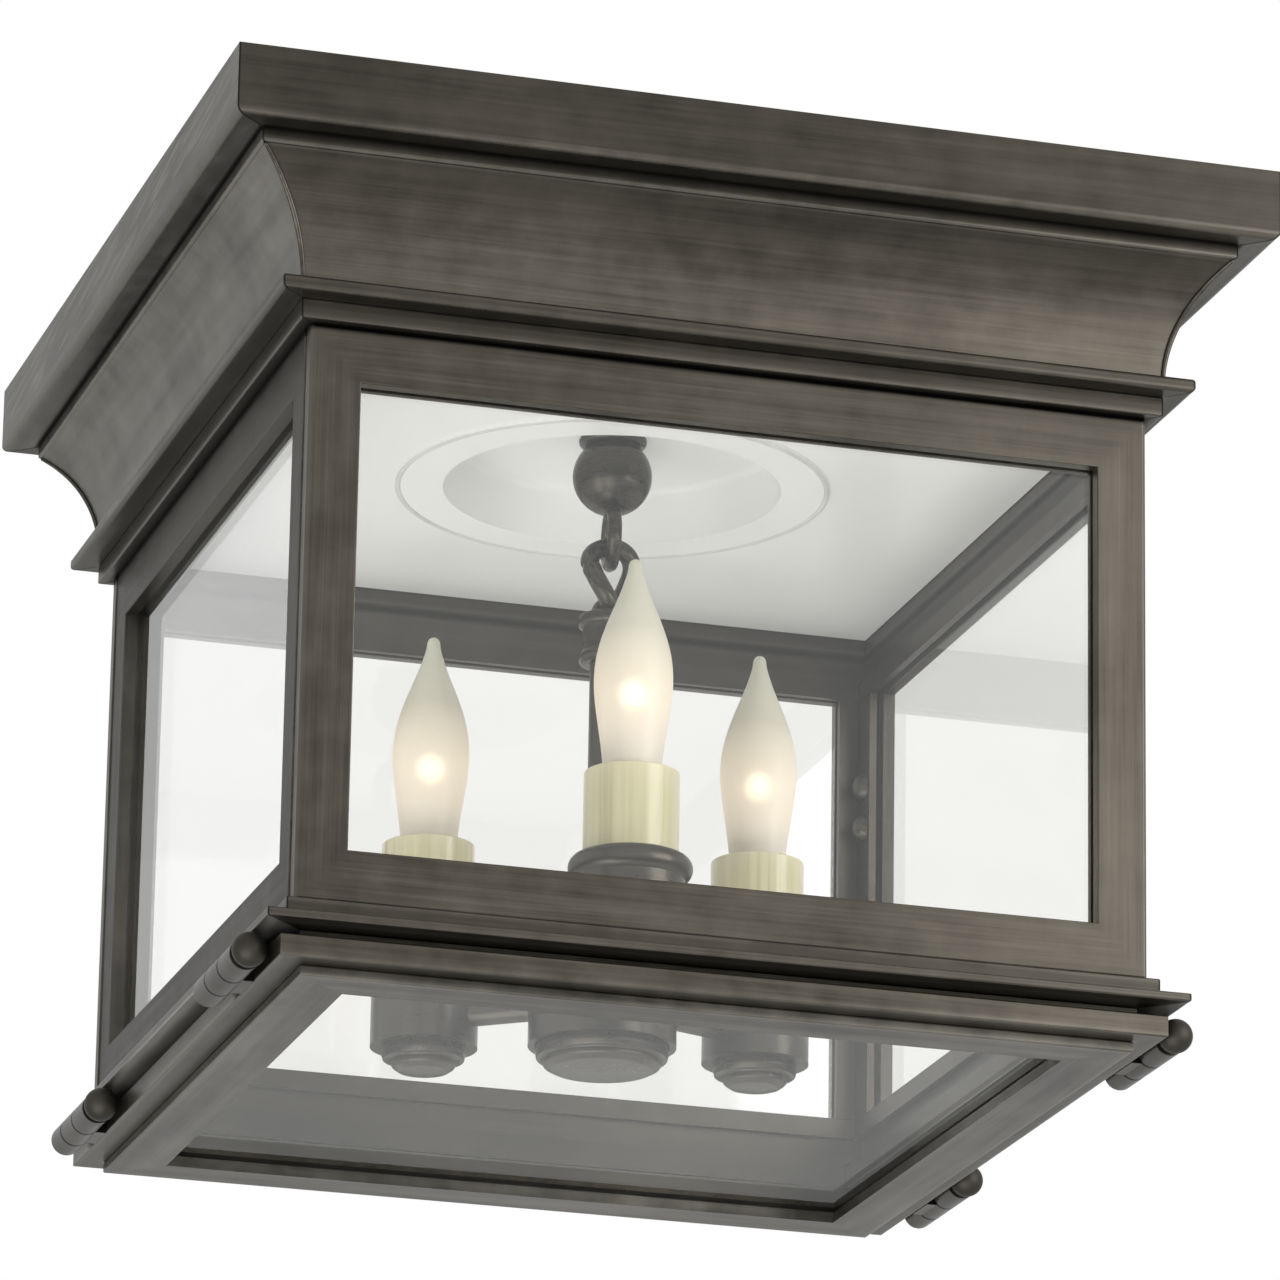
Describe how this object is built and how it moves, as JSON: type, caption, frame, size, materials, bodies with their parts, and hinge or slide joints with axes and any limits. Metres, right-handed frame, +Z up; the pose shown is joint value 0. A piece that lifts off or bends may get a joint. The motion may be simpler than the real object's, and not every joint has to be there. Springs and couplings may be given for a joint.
{
  "type": "flush mount ceiling light",
  "caption": "Square glazed ceiling lantern with a coved cornice, a hinged glass door on pull-out pins, and a candle cluster hanging from a chain link.",
  "frame": {"origin": "centre of the square face that meets the ceiling, between the strap's two slots", "axes": "+Z up through the ceiling, -Y to the front, +X to the right seen from the front"},
  "size_m": [0.4064, 0.4064, 0.3379],
  "materials": {
    "bronze": "dark bronze patina, fine brushed",
    "clear_glass": "clear, polished",
    "frosted_glass": "frosted, lit from inside",
    "bulb_base": "bright, threaded",
    "candle_sleeve": "cream, satin gloss",
    "lamp_socket": "black moulded",
    "plated_steel": "zinc plated",
    "white_enamel": "white enamel, satin"
  },
  "bodies": {
    "lantern": {"cornice_front": "bronze", "cornice_right": "bronze", "cornice_back": "bronze", "cornice_left": "bronze", "astragal_plate": "bronze", "neck_band": "bronze", "frame_front": "bronze", "frame_right": "bronze", "frame_back": "bronze", "frame_left": "bronze", "glass_front": "clear_glass", "glass_right": "clear_glass", "glass_back": "clear_glass", "glass_left": "clear_glass", "glass_stops": "bronze", "stop_screws": "bronze", "base_band": "bronze", "foot_flange": "bronze", "base_knuckles_left": "bronze", "base_knuckles_right": "bronze", "ceiling_strap": "plated_steel", "threaded_tube": "plated_steel", "lock_nuts": "plated_steel", "top_pan": "white_enamel", "ceiling_dish": "white_enamel", "ball_collar": "bronze", "hanging_ball": "bronze"},
    "door": {"door_frame": "bronze", "door_step": "bronze", "glass_door": "clear_glass", "door_glass_stops": "bronze", "door_knuckles_left": "bronze", "door_knuckles_right": "bronze"},
    "link": {"chain_link": "bronze"},
    "cluster": {"stem_loop": "bronze", "stem": "bronze", "hub": "bronze", "hub_finial": "bronze", "arms": "bronze", "cup_front": "bronze", "cup_right": "bronze", "cup_left": "bronze", "cup_finials": "bronze", "sockets": "lamp_socket", "sleeve_front": "candle_sleeve", "sleeve_right": "candle_sleeve", "sleeve_left": "candle_sleeve"},
    "bulb_front": {"bulb_base_front": "bulb_base", "bulb_glass_front": "frosted_glass"},
    "bulb_right": {"bulb_base_right": "bulb_base", "bulb_glass_right": "frosted_glass"},
    "bulb_left": {"bulb_base_left": "bulb_base", "bulb_glass_left": "frosted_glass"},
    "pin_front_left": {"pin_front_left": "bronze"},
    "pin_rear_left": {"pin_rear_left": "bronze"},
    "pin_front_right": {"pin_front_right": "bronze"},
    "pin_rear_right": {"pin_rear_right": "bronze"}
  },
  "joints": [
    {"name": "door_hinge", "type": "hinge", "parent": "lantern", "child": "door", "pos_m": [-0.177, 0, -0.3292], "axis": [0, 1, 0], "range_deg": [0, 100]},
    {"name": "pin_slide_front_left", "type": "slide", "parent": "lantern", "child": "pin_front_left", "axis": [0, -1, 0], "range_m": [0, 0.06]},
    {"name": "pin_slide_rear_left", "type": "slide", "parent": "lantern", "child": "pin_rear_left", "axis": [0, -1, 0], "range_m": [0, 0.06]},
    {"name": "pin_slide_front_right", "type": "slide", "parent": "lantern", "child": "pin_front_right", "axis": [0, -1, 0], "range_m": [0, 0.06]},
    {"name": "pin_slide_rear_right", "type": "slide", "parent": "lantern", "child": "pin_rear_right", "axis": [0, -1, 0], "range_m": [0, 0.06]},
    {"name": "link_swing", "type": "hinge", "parent": "lantern", "child": "link", "pos_m": [0, 0, -0.1158], "axis": [0.153, 0.9882, 0], "range_deg": [-8, 8]},
    {"name": "cluster_swing", "type": "hinge", "parent": "link", "child": "cluster", "pos_m": [0, 0, -0.1369], "axis": [0.9882, -0.153, 0], "range_deg": [-8, 8]},
    {"name": "bulb_lift_front", "type": "slide", "parent": "cluster", "child": "bulb_front", "axis": [0, 0, 1], "range_m": [0, 0.025]},
    {"name": "bulb_lift_right", "type": "slide", "parent": "cluster", "child": "bulb_right", "axis": [0, 0, 1], "range_m": [0, 0.025]},
    {"name": "bulb_lift_left", "type": "slide", "parent": "cluster", "child": "bulb_left", "axis": [0, 0, 1], "range_m": [0, 0.025]}
  ]
}
